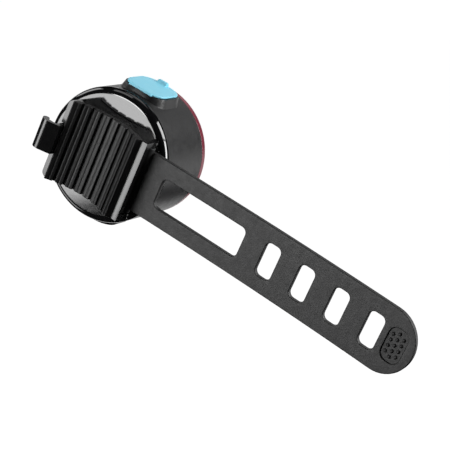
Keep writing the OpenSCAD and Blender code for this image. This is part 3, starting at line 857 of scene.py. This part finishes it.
def make_button(material):
    """Rubber power button: a soft rounded cap with a flange and a stem behind it."""
    builder = Builder()
    builder.plate(
        lambda inset: rounded_rect(0, PORT_Y, BUTTON_W, BUTTON_W, BUTTON_R, -inset),
        both_edges(BUTTON_EDGE, BUTTON_UNDER, FLANGE_Z + FLANGE_T - BUTTON_FACE),
        lambda u, v, depth: (u, v, BUTTON_FACE + depth), BUTTON_SPACING,
    )
    builder.plate(
        lambda inset: rounded_rect(0, PORT_Y, FLANGE_W, FLANGE_W, BUTTON_R, -inset),
        both_edges(FLANGE_EDGE, FLANGE_EDGE, FLANGE_T), lambda u, v, depth: (u, v, FLANGE_Z + depth),
    )
    path = ((STEM_R, FLANGE_Z), (STEM_R, STEM_TOP - STEM_EDGE), (STEM_R - STEM_EDGE, STEM_TOP))
    builder.solid([builder.ring(circle((0.0, STEM_Y, z), r, AXIS_Z, STEM_STEPS)) for r, z in path])
    builder.build("power_button_piece", material, "power_button", ["power_button"])


# Rear cover

def make_rear_cover(material):
    """Turned disc: flat face, broad soft edge down to the parting line, spigot behind."""
    profile = [
        (COVER_R - inset, COVER_Y + depth) for inset, depth in round_edge(COVER_EDGE, COVER_EDGE_STEPS)
    ]
    profile += [
        (COVER_R, PART_Y - COVER_LINE), (COVER_R - COVER_LINE, PART_Y), (SPIGOT_R, PART_Y),
        (SPIGOT_R, SEAL_START), (SEAL_FLOOR, SEAL_START), (SEAL_FLOOR, SEAL_END), (SPIGOT_R, SEAL_END),
        (SPIGOT_R, SPIGOT_END), (SPIGOT_IN, SPIGOT_END), (SPIGOT_IN, COVER_BACK),
    ]
    builder = Builder()
    builder.solid([builder.ring(circle((0.0, y, 0.0), r, AXIS_Y, COVER_STEPS)) for r, y in profile])
    builder.build("rear_cover_piece", material, "light", ["rear_cover"])


# Carried solids

def soften(node, width):
    """Joins a solid's faces and rounds its sharp edges."""
    weld = node.modifiers.new("weld", "WELD")
    weld.merge_threshold = WELD_DISTANCE
    flatten = node.modifiers.new("flatten", "DECIMATE")
    flatten.decimate_type = "DISSOLVE"
    flatten.angle_limit = FLAT_ANGLE
    bevel = node.modifiers.new("bevel", "BEVEL")
    bevel.width = width * MM
    bevel.segments = BEVEL_SEGMENTS
    bevel.limit_method = "ANGLE"
    bevel.angle_limit = BEVEL_ANGLE
    bevel.miter_outer = "MITER_ARC"
    node.data.shade_smooth()
    weighted = node.modifiers.new("weighted", "WEIGHTED_NORMAL")
    weighted.keep_sharp = False


def dress_nodes(materials):
    """Gives every CAD node the material of its slot."""
    for part in frame["record"]["subparts"]:
        node = NODES[part["node"]]
        node.data.materials.clear()
        node.data.materials.append(materials[part["material_slot"]])


# Studio

def seen_white(tree):
    """One for rays of the camera and for those reflected or sent through to the background."""
    path = tree.nodes.new("ShaderNodeLightPath")
    seen = path.outputs["Is Camera Ray"]
    for other in ("Is Glossy Ray", "Is Transmission Ray"):
        either = tree.nodes.new("ShaderNodeMath")
        either.operation = "MAXIMUM"
        tree.links.new(seen, either.inputs[0])
        tree.links.new(path.outputs[other], either.inputs[1])
        seen = either.outputs[0]
    return seen


def level_of(tree, white, plain):
    """A strength that is white where seen and plain for the light on the object."""
    node = tree.nodes.new("ShaderNodeMapRange")
    node.inputs["To Min"].default_value = plain
    node.inputs["To Max"].default_value = white
    tree.links.new(seen_white(tree), node.inputs["Value"])
    return node.outputs["Result"]


def floor_material():
    """Pale floor, white to the camera and in reflections, that still takes the object's shadow."""
    material = bpy.data.materials.new("floor")
    material.use_nodes = True
    tree = material.node_tree
    tree.nodes.clear()
    output = tree.nodes.new("ShaderNodeOutputMaterial")
    diffuse = tree.nodes.new("ShaderNodeBsdfDiffuse")
    diffuse.inputs["Color"].default_value = (FLOOR_GREY, FLOOR_GREY, FLOOR_GREY, 1)
    glow = tree.nodes.new("ShaderNodeEmission")
    glow.inputs["Color"].default_value = (1, 1, 1, 1)
    tree.links.new(level_of(tree, FLOOR_GLOW, 0.0), glow.inputs["Strength"])
    both = tree.nodes.new("ShaderNodeAddShader")
    tree.links.new(diffuse.outputs[0], both.inputs[0])
    tree.links.new(glow.outputs[0], both.inputs[1])
    tree.links.new(both.outputs[0], output.inputs["Surface"])
    return material


def flag_material():
    """Dull black of the tent."""
    material = bpy.data.materials.new("flag")
    material.use_nodes = True
    surface = material.node_tree.nodes["Principled BSDF"]
    surface.inputs["Base Color"].default_value = (FLAG_GREY, FLAG_GREY, FLAG_GREY, 1)
    surface.inputs["Roughness"].default_value = FLAG_ROUGH
    surface.inputs["Specular IOR Level"].default_value = 0.0
    return material


def sweep(name, radius, floor, top, back, material, gap=None):
    """Round floor with a wall, part of the studio; with a gap it is a tent, cut off at y = back."""
    count = SWEEP_STEPS
    ring = [(radius * math.cos(t), min(radius * math.sin(t), back)) for t in turns(count)]
    heights = (floor, top) if gap is None else (floor, top, gap)
    points = [(x, y, z) for z in heights for x, y in ring]
    faces = [tuple(range(count))]
    if gap is not None:
        faces.append(tuple(range(count, 2 * count)))
    for k in range(count):
        j = (k + 1) % count
        foot = 0 if min(ring[k][1], ring[j][1]) < back else 2 * count
        faces.append((k + foot, j + foot, j + count, k + count))
    mesh = bpy.data.meshes.new(name)
    mesh.from_pydata(points, [], faces)
    mesh.materials.append(material)
    sheet = bpy.data.objects.new(name, mesh)
    bpy.context.scene.collection.objects.link(sheet)
    return sheet


def make_floor():
    """White sweep, and a black tent, open low down behind, that keeps white out of dark reflections."""
    sweep("floor", FLOOR_R, FLOOR_Z, WALL_TOP, 2 * FLOOR_R, floor_material())
    flag = sweep("flag", FLAG_R, FLOOR_Z + FLAG_LIFT, FLAG_TOP, FLAG_BACK, flag_material(), FLAG_GAP)
    flag.visible_camera = False
    flag.visible_diffuse = False
    flag.visible_shadow = False


def make_world():
    """Dim even room around the lamps, white where it is seen past the floor."""
    world = bpy.data.worlds.new("room")
    bpy.context.scene.world = world
    world.use_nodes = True
    tree = world.node_tree
    back = tree.nodes["Background"]
    back.inputs["Color"].default_value = (1, 1, 1, 1)
    tree.links.new(level_of(tree, 1.0, ROOM_LEVEL), back.inputs["Strength"])


def softbox(axes, name, side, rise, width, height, radiance):
    """Rectangular lamp at two angles round the camera; its sizes are angles too, in degrees."""
    right, up, back = axes
    a = math.radians(side)
    b = math.radians(rise)
    toward = right * math.sin(a) * math.cos(b) + back * math.cos(a) * math.cos(b) + up * math.sin(b)
    across = (right * math.cos(a) - back * math.sin(a)).normalized()
    data = bpy.data.lights.new(name, "AREA")
    data.shape = "RECTANGLE"
    data.size = 2 * LAMP_DISTANCE * math.tan(math.radians(width / 2))
    data.size_y = 2 * LAMP_DISTANCE * math.tan(math.radians(height / 2))
    data.energy = radiance * math.pi * data.size * data.size_y
    lamp = bpy.data.objects.new(name, data)
    rotation = Matrix((across, toward.cross(across), toward)).transposed()
    lamp.matrix_world = Matrix.Translation(LAMP_TARGET + toward * LAMP_DISTANCE) @ rotation.to_4x4()
    lamp.visible_camera = False
    bpy.context.scene.collection.objects.link(lamp)


AXES = make_camera()
bpy.context.scene.view_settings.view_transform = "Standard"
MATERIALS = make_materials()
dress_nodes(MATERIALS)
make_pad(MATERIALS["black_rubber"])
make_strap(MATERIALS["strap_rubber"])
make_port_cover(MATERIALS["blue_silicone"])
make_button(MATERIALS["black_rubber"])
make_rear_cover(MATERIALS["gloss_black"])
for bevelled, bevel_width in BEVELS.items():
    soften(NODES[bevelled], bevel_width)
make_world()
make_floor()
for lamp_values in LAMPS:
    softbox(AXES, *lamp_values)
